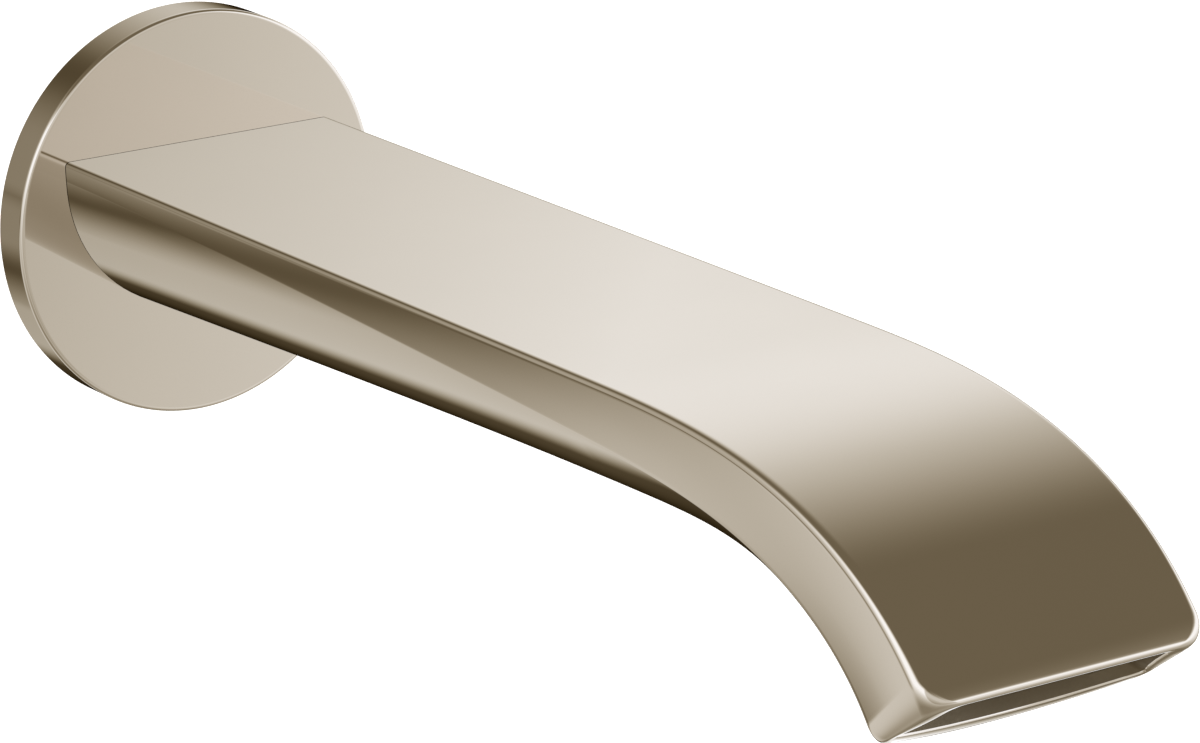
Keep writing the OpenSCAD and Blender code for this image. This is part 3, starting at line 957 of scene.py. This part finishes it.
def add_world():
    """A room as polished metal sees it, with plain white behind the object."""
    world = bpy.data.worlds.new("Studio")
    bpy.context.scene.world = world
    world.use_nodes = True
    tree = world.node_tree
    tree.nodes.clear()
    link = tree.links.new
    coords = tree.nodes.new("ShaderNodeTexCoord")
    split = tree.nodes.new("ShaderNodeSeparateXYZ")
    link(coords.outputs["Generated"], split.inputs["Vector"])
    x, y, z = split.outputs
    lean = remap(tree, y, *WALL_SIDE, smooth=True)
    level = mix(tree, lean, front_level(tree, x, z), wall_side_level(tree, x, y, z))
    wall = remap(tree, math_node(tree, "ABSOLUTE", y, 0), WALL_EDGE, WALL_FULL, 1.0, WALL_SHARE)
    level = math_node(tree, "MULTIPLY", level, wall)
    level = math_node(tree, "MAXIMUM", level, low_level(tree, x, y, z))
    warm = tree.nodes.new("ShaderNodeCombineColor")
    link(level, warm.inputs["Red"])
    link(math_node(tree, "POWER", level, WARM_GREEN), warm.inputs["Green"])
    link(math_node(tree, "POWER", level, WARM_BLUE), warm.inputs["Blue"])
    room = tree.nodes.new("ShaderNodeBackground")
    link(warm.outputs["Color"], room.inputs["Color"])
    plain = tree.nodes.new("ShaderNodeBackground")
    plain.inputs["Color"].default_value = (1, 1, 1, 1)
    path = tree.nodes.new("ShaderNodeLightPath")
    choose = tree.nodes.new("ShaderNodeMixShader")
    link(path.outputs["Is Camera Ray"], choose.inputs["Fac"])
    link(room.outputs["Background"], choose.inputs[1])
    link(plain.outputs["Background"], choose.inputs[2])
    out = tree.nodes.new("ShaderNodeOutputWorld")
    link(choose.outputs["Shader"], out.inputs["Surface"])


def add_floor():
    """A wide pale floor that the metal doesn't mirror."""
    deselect_all()
    bpy.ops.mesh.primitive_plane_add(
        size=40, location=(0, 0, -settings("studio_settings").floor_drop))
    floor = bpy.context.object
    floor.name = floor.data.name = "studio_floor"
    material = bpy.data.materials.new("pale_floor")
    material.use_nodes = True
    tree = material.node_tree
    shader = tree.nodes["Principled BSDF"]
    coords = tree.nodes.new("ShaderNodeTexCoord").outputs["Object"]
    tone = tree.nodes.new("ShaderNodeValToRGB")
    for stop, level in zip(tone.color_ramp.elements, (0.86, 0.9)):
        stop.color = (level, level, level, 1)
    tree.links.new(noise(tree, coords, 3, 3), tone.inputs["Fac"])
    tree.links.new(tone.outputs["Color"], shader.inputs["Base Color"])
    shader.inputs["Roughness"].default_value = 0.9
    shader.inputs["Emission Color"].default_value = (1, 1, 1, 1)
    shader.inputs["Emission Strength"].default_value = 1
    floor.data.materials.append(material)
    floor.visible_glossy = False
    floor.visible_diffuse = False


def add_light():
    """A soft light overhead, for the pieces that aren't polished."""
    place, target = Vector((-0.5, -1.2, 1.4)), Vector((0, -0.1, 0))
    width, watts = 1.5, 12
    deselect_all()
    bpy.ops.object.light_add(type="AREA", location=place)
    light = bpy.context.object
    light.data.size = width
    light.data.energy = watts
    light.rotation_euler = (place - target).to_track_quat("Z", "Y").to_euler()
    light.visible_glossy = False


class SPOUT_OT_studio(bpy.types.Operator):
    """Set up the floor, the soft light and the camera"""

    bl_idname = "spout.studio"
    bl_label = "Studio"

    def execute(self, context):
        behind = [bpy.data.objects[name] for name in (
            "wall_disc", "disc_carrier", "foam_gasket", "threaded_nipple")]
        behind += [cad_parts[node] for node in ("escutcheon_grip_ring", "thread_o_ring")]
        for piece in behind:
            piece.visible_glossy = False
        add_floor()
        add_light()
        add_camera()
        add_world()
        context.scene.view_settings.view_transform = "Standard"
        return {"FINISHED"}


class SPOUT_PT_panel(bpy.types.Panel):
    """Sizes, finishes and steps of the bath spout"""

    bl_idname = "SPOUT_PT_panel"
    bl_label = "Bath Spout"
    bl_space_type = "VIEW_3D"
    bl_region_type = "UI"
    bl_category = "Spout"

    def draw(self, context):
        for step in STEPS:
            self.layout.operator(step.bl_idname)
        for group in ("spout_sizes", "spout_finish", "studio_settings"):
            box = self.layout.box()
            owner = getattr(context.scene, group)
            for name in owner.bl_rna.properties.keys():
                if name not in {"rna_type", "name"}:
                    box.prop(owner, name)


STEPS = (
    SPOUT_OT_finishes,
    SPOUT_OT_body,
    SPOUT_OT_disc,
    SPOUT_OT_nipple,
    SPOUT_OT_fixings,
    SPOUT_OT_insert,
    SPOUT_OT_studio,
)
GROUPS = {
    "spout_sizes": SpoutSizes,
    "spout_finish": SpoutFinish,
    "studio_settings": StudioSettings,
}


def register():
    for cls in (*GROUPS.values(), *STEPS, SPOUT_PT_panel):
        bpy.utils.register_class(cls)
    for name, cls in GROUPS.items():
        setattr(bpy.types.Scene, name, bpy.props.PointerProperty(type=cls))


def unregister():
    for name in GROUPS:
        delattr(bpy.types.Scene, name)
    for cls in reversed((*GROUPS.values(), *STEPS, SPOUT_PT_panel)):
        bpy.utils.unregister_class(cls)


def corners(box):
    """A box as plain lists of numbers."""
    return [[float(value) for value in corner] for corner in box]


def main():
    register()
    bpy.ops.spout.finishes()
    bpy.ops.spout.body()
    bpy.ops.spout.disc()
    bpy.ops.spout.nipple()
    bpy.ops.spout.fixings()
    bpy.ops.spout.insert()
    bpy.ops.spout.studio()
    deselect_all()


if __name__ == "__main__":
    main()
